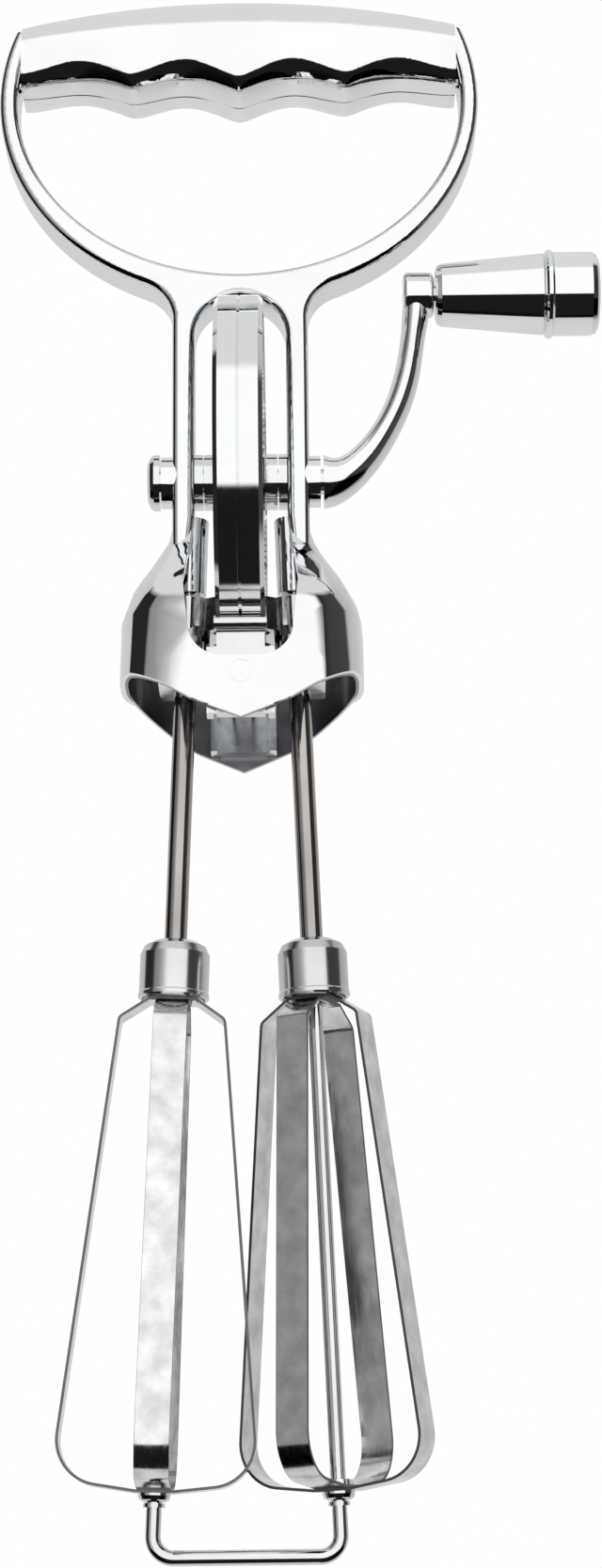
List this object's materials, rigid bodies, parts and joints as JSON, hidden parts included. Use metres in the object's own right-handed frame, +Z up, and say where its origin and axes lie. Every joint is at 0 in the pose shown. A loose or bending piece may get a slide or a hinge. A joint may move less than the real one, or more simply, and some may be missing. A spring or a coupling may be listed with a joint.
{
  "type": "egg beater",
  "caption": "Hand-cranked rotary egg beater: finger-grooved D handle, gear wheel in a slotted frame, side crank and two counter-rotating wire-guarded beaters.",
  "frame": {"origin": "middle of the wire guard's bottom run, at its lowest point", "axes": "+Z up to the handle, +X towards the crank, -Y the front"},
  "size_m": [0.1152, 0.0702, 0.2987],
  "materials": {
    "chrome_casting": "polished chrome plate on a casting",
    "chrome_grip": "polished chrome plate",
    "chrome_crank": "polished chrome plate",
    "chrome_wheel": "polished chrome plate",
    "chrome_knob": "polished chrome plate",
    "cast_bridge": "dull plated casting",
    "gear_steel": "machined",
    "bright_steel": "bright",
    "dark_tube": "warm dark steel tube",
    "brushed_cup": "fine brushed",
    "strip_steel": "rolled strip",
    "steel_wire": "drawn wire"
  },
  "bodies": {
    "root": {"frame": "chrome_casting", "grip_front_shell": "chrome_grip", "grip_rear_shell": "chrome_grip", "grip_screws": "bright_steel", "bearing_bridge": "cast_bridge", "bridge_pin": "chrome_casting", "wire_guard": "steel_wire", "wire_stop_left": "steel_wire", "wire_stop_right": "steel_wire", "axle_bush_left": "bright_steel", "axle_bush_right": "bright_steel"},
    "crank": {"crank_arm": "chrome_crank", "crank_axle": "bright_steel", "axle_rivet_cap": "bright_steel", "wheel_half_left": "chrome_wheel", "wheel_half_right": "chrome_wheel", "wheel_rivets": "bright_steel", "wheel_spacer_left": "bright_steel", "wheel_spacer_right": "bright_steel", "knob_pin": "bright_steel"},
    "knob": {"knob_barrel": "chrome_knob", "knob_ring": "chrome_knob", "knob_end_cap": "chrome_knob"},
    "beater_left": {"pinion_left": "gear_steel", "beater_tube_left": "dark_tube", "hub_cup_left": "brushed_cup", "hub_washer_left": "brushed_cup", "beater_loop_a_left": "strip_steel", "beater_loop_b_left": "strip_steel", "bottom_eyelet_left": "bright_steel"},
    "beater_right": {"pinion_right": "gear_steel", "beater_tube_right": "dark_tube", "hub_cup_right": "brushed_cup", "hub_washer_right": "brushed_cup", "beater_loop_a_right": "strip_steel", "beater_loop_b_right": "strip_steel", "bottom_eyelet_right": "bright_steel"}
  },
  "joints": [
    {"name": "crank_turn", "type": "hinge", "parent": "root", "child": "crank", "pos_m": [0, 0, 0.1988], "axis": [1, 0, 0], "continuous": true},
    {"name": "knob_spin", "type": "hinge", "parent": "crank", "child": "knob", "pos_m": [0.048, 0, 0.2368], "axis": [1, 0, 0], "continuous": true},
    {"name": "beater_left_spin", "type": "hinge", "parent": "root", "child": "beater_left", "pos_m": [-0.0164, 0, 0], "axis": [0.037, 0, 0.9993], "continuous": true},
    {"name": "beater_right_spin", "type": "hinge", "parent": "root", "child": "beater_right", "pos_m": [0.0164, 0, 0], "axis": [-0.037, 0, 0.9993], "continuous": true}
  ],
  "couplings": [
    {"joint": "beater_left_spin", "follows": "crank_turn", "ratio": 4},
    {"joint": "beater_right_spin", "follows": "crank_turn", "ratio": -4}
  ]
}
